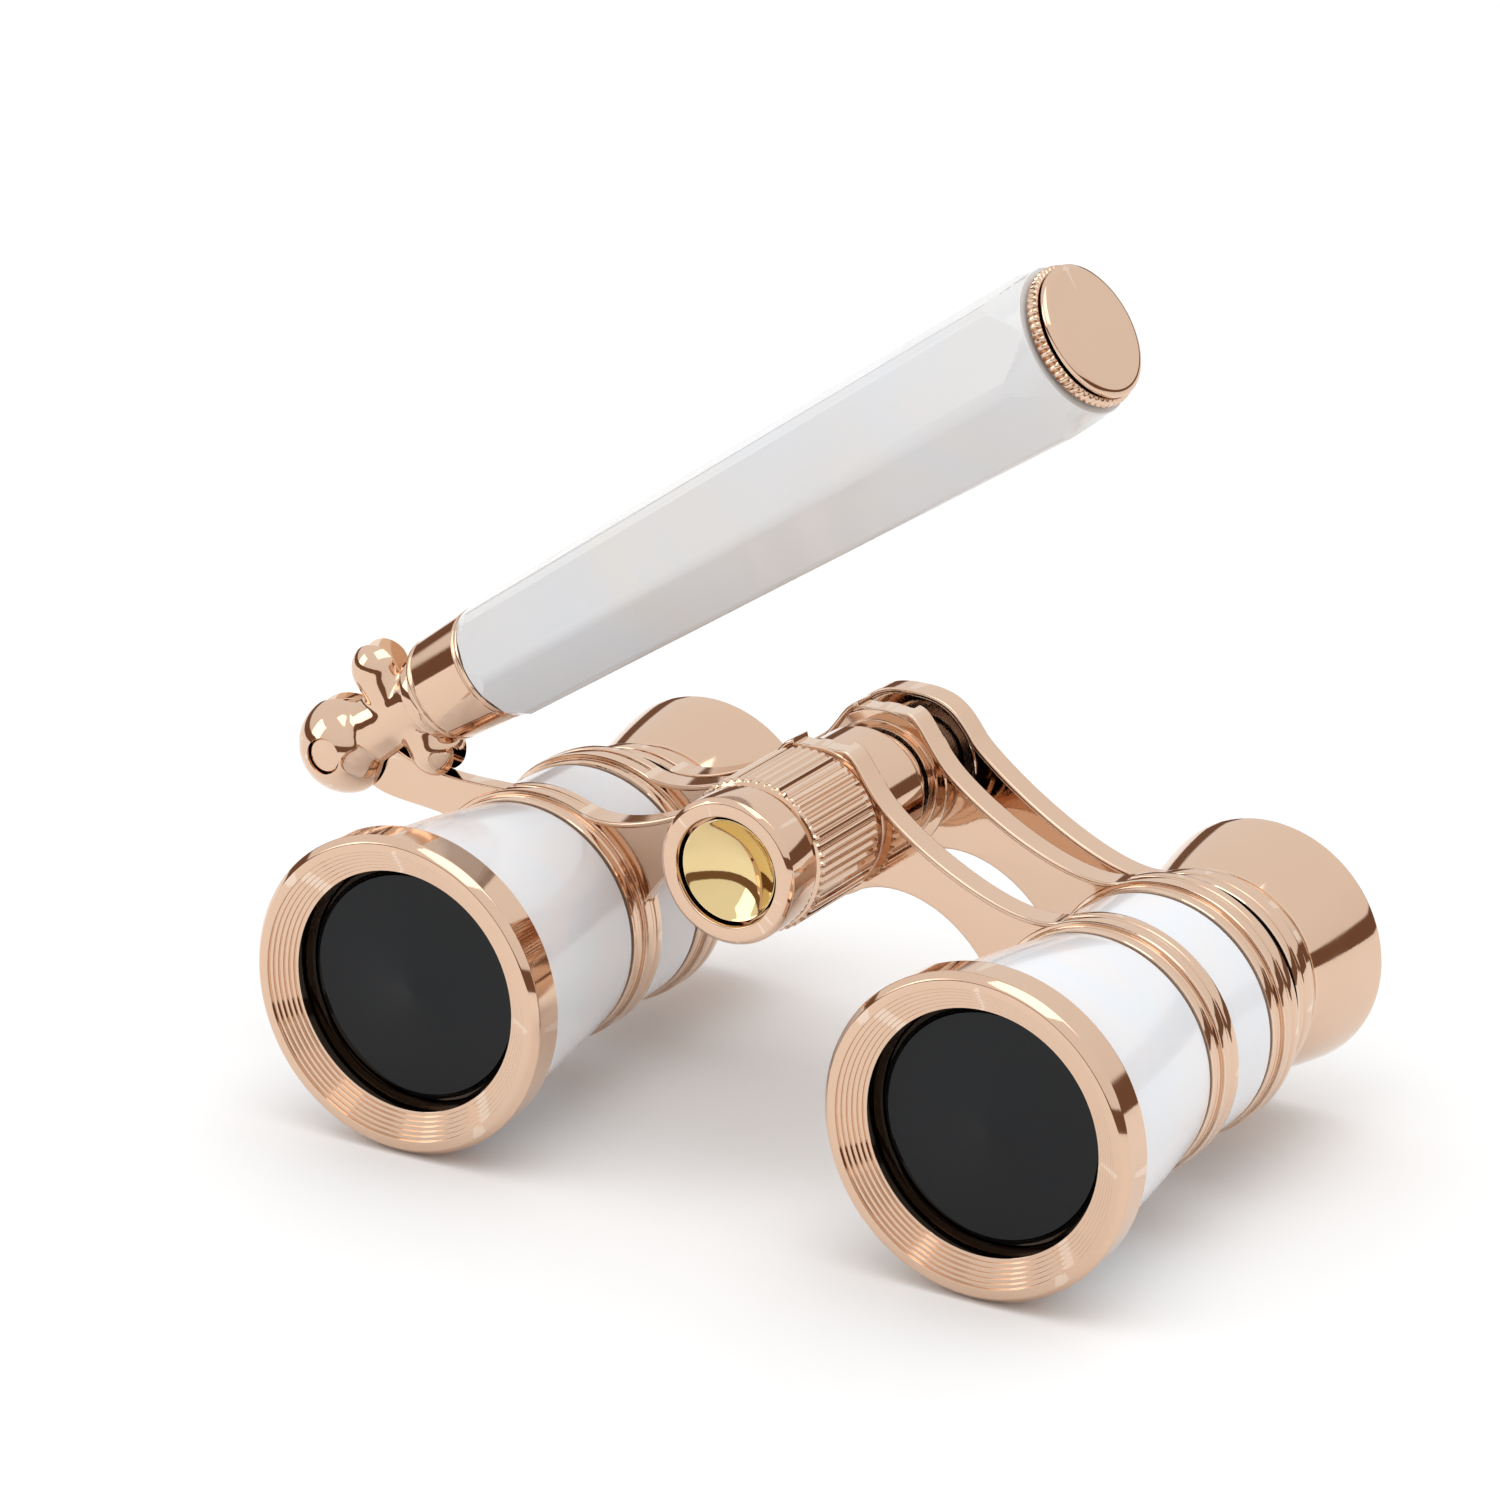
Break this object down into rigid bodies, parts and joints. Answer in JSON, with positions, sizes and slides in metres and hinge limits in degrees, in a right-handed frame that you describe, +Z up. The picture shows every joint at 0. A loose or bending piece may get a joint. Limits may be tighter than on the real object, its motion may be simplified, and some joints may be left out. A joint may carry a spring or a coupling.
{
  "type": "opera glasses",
  "caption": "Compact opera glasses with flared white barrels, gold bridges, a centre focusing knob and a folding six-sided side handle.",
  "frame": {"origin": "centre of the bounding box in plan, at the height of the lowest points of the objective rings", "axes": "+X from the handle's side across the barrels, +Y along the barrels from objectives to eyepieces, +Z up"},
  "size_m": [0.1063, 0.0582, 0.0911],
  "materials": {
    "rose_gold": "polished rose gold plate",
    "yellow_gold": "polished yellow gold plate",
    "white_enamel": "glossy pearl white enamel",
    "white_grip": "glossy white lacquer",
    "black_metal": "matte black anodised",
    "steel": "turned",
    "glass": "coated optical glass"
  },
  "bodies": {
    "body": {"objective_ring_left": "rose_gold", "objective_ring_right": "rose_gold", "objective_lens_left": "glass", "objective_lens_right": "glass", "lens_retainer_left": "black_metal", "lens_retainer_right": "black_metal", "front_shell_left": "white_enamel", "front_shell_right": "white_enamel", "body_tube_left": "black_metal", "body_tube_right": "black_metal", "rear_shell_left": "white_enamel", "rear_shell_right": "white_enamel", "front_bridge": "rose_gold", "rear_bridge": "rose_gold", "focus_sleeve": "rose_gold", "spindle_bearing": "steel", "slide_bush": "steel"},
    "focus": {"focus_knob": "rose_gold", "knob_dish": "yellow_gold", "focus_spindle": "steel"},
    "eyepieces": {"eyepiece_bridge": "rose_gold", "drive_tube": "steel", "bridge_screw": "rose_gold", "eyepiece_tube_left": "black_metal", "eyepiece_tube_right": "black_metal", "ocular_lens_left": "glass", "ocular_lens_right": "glass", "ocular_retainer_left": "black_metal", "ocular_retainer_right": "black_metal", "eyecup_left": "rose_gold", "eyecup_right": "rose_gold"},
    "handle": {"hinge_yoke": "rose_gold", "hinge_pin": "rose_gold", "hinge_nut": "steel", "ferrule": "rose_gold", "grip": "white_grip", "grip_end_ring": "rose_gold", "end_cap": "rose_gold", "tie_rod": "steel"}
  },
  "joints": [
    {"name": "focus_turn", "type": "hinge", "parent": "body", "child": "focus", "pos_m": [0.00575, -0.01305, 0.0327], "axis": [0, 1, 0], "range_deg": [-100, 300]},
    {"name": "eyepiece_slide", "type": "slide", "parent": "body", "child": "eyepieces", "axis": [0, 1, 0], "range_m": [-0.002, 0.006]},
    {"name": "handle_fold", "type": "hinge", "parent": "body", "child": "handle", "pos_m": [-0.04825, -0.0027, 0.0291], "axis": [0, -1, 0], "range_deg": [-13, 235]}
  ],
  "couplings": [
    {"joint": "focus_turn", "follows": "eyepiece_slide", "rad_per_m": 872.66}
  ]
}
